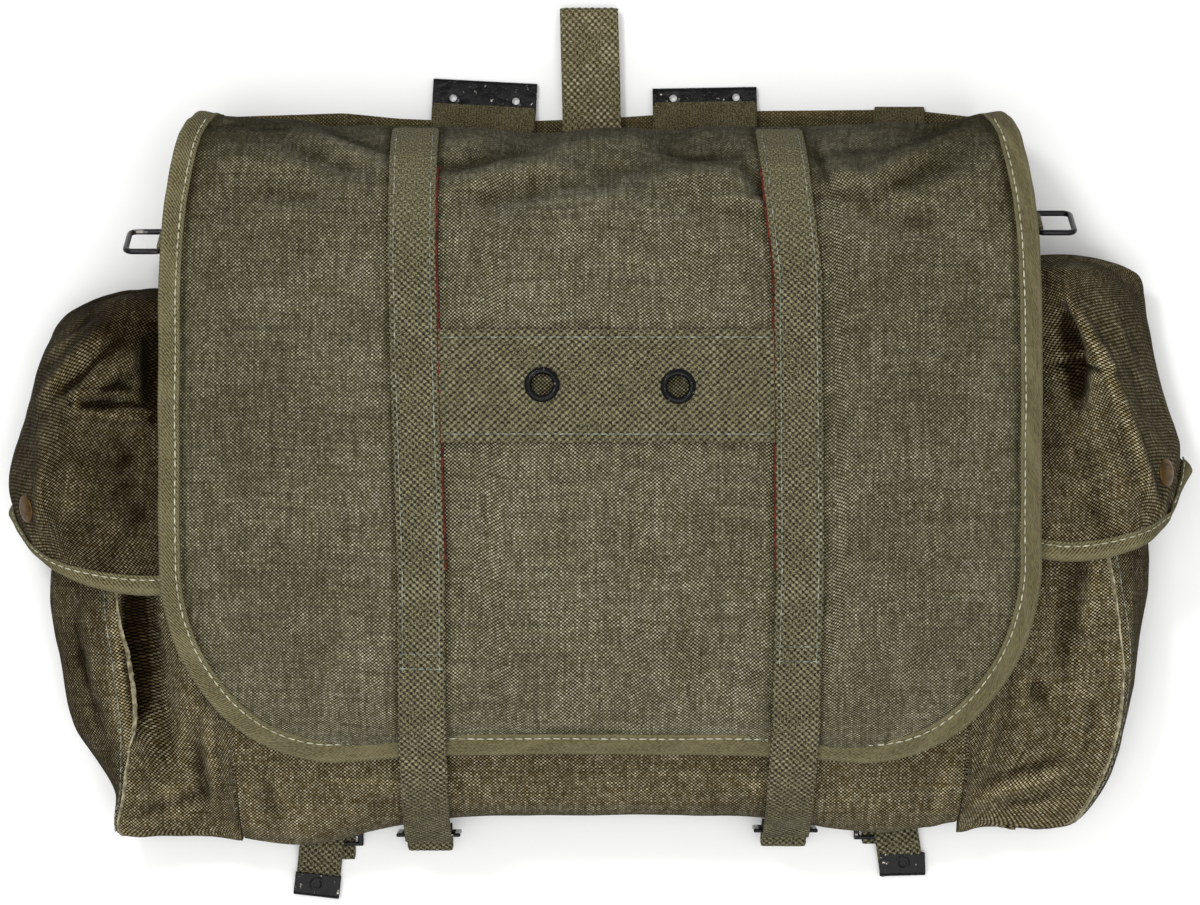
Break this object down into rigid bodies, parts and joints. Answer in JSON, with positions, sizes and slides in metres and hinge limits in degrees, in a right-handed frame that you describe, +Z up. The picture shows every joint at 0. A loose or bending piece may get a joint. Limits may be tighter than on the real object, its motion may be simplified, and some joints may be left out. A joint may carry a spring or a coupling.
{
  "type": "military rucksack",
  "caption": "Canvas rucksack lying on its back: broad bound lid under webbing straps, hooded side pockets, wire side rings, eyeletted gear web, haul loop and top hooks.",
  "frame": {"origin": "on the ground under the middle of the lying bag's box", "axes": "+X to the bag's right as seen from its front, +Y towards its top, +Z up from the ground, out of its front"},
  "size_m": [0.642, 0.4868, 0.1222],
  "materials": {
    "cotton_duck": "heathered olive-brown cotton duck, worn",
    "faded_duck": "faded grey-olive cotton duck",
    "webbing": "coarse olive cotton webbing",
    "binding_tape": "light olive twill tape",
    "black_metal": "glossy black japanned steel, chipped",
    "ring_wire": "dark phosphated steel wire, bright where worn",
    "stud_brass": "dull brass"
  },
  "bodies": {
    "root": {"back_panel": "cotton_duck", "front_panel": "cotton_duck", "side_panel_left": "cotton_duck", "side_panel_right": "cotton_duck", "pocket_left": "cotton_duck", "pocket_right": "cotton_duck", "pocket_flap_left": "cotton_duck", "pocket_flap_right": "cotton_duck", "lid": "faded_duck", "lid_binding": "binding_tape", "pocket_binding_left": "binding_tape", "pocket_binding_right": "binding_tape", "tape_end": "binding_tape", "lid_strap_left": "webbing", "lid_strap_right": "webbing", "hook_web_left": "webbing", "hook_web_right": "webbing", "ring_keeper_left": "webbing", "ring_keeper_right": "webbing", "base_strap_left": "webbing", "base_strap_right": "webbing", "base_tab_left": "webbing", "base_tab_right": "webbing", "gear_web": "webbing", "haul_loop": "webbing", "lid_buckle_left": "black_metal", "lid_buckle_right": "black_metal", "gear_eyelet_left": "black_metal", "gear_eyelet_right": "black_metal", "top_hook_left": "black_metal", "top_hook_right": "black_metal", "base_tip_left": "black_metal", "base_tip_right": "black_metal", "base_buckle_left": "black_metal", "base_buckle_right": "black_metal", "pocket_stud_left": "stud_brass", "pocket_stud_right": "stud_brass"},
    "left_ring": {"side_ring_left": "ring_wire"},
    "right_ring": {"side_ring_right": "ring_wire"}
  },
  "joints": [
    {"name": "left_ring_swing", "type": "hinge", "parent": "root", "child": "left_ring", "pos_m": [-0.233, 0.113, 0.052], "axis": [0, 0.4226, -0.9063], "range_deg": [-40, 80]},
    {"name": "right_ring_swing", "type": "hinge", "parent": "root", "child": "right_ring", "pos_m": [0.233, 0.123, 0.052], "axis": [0, -0.4226, 0.9063], "range_deg": [-40, 80]}
  ]
}
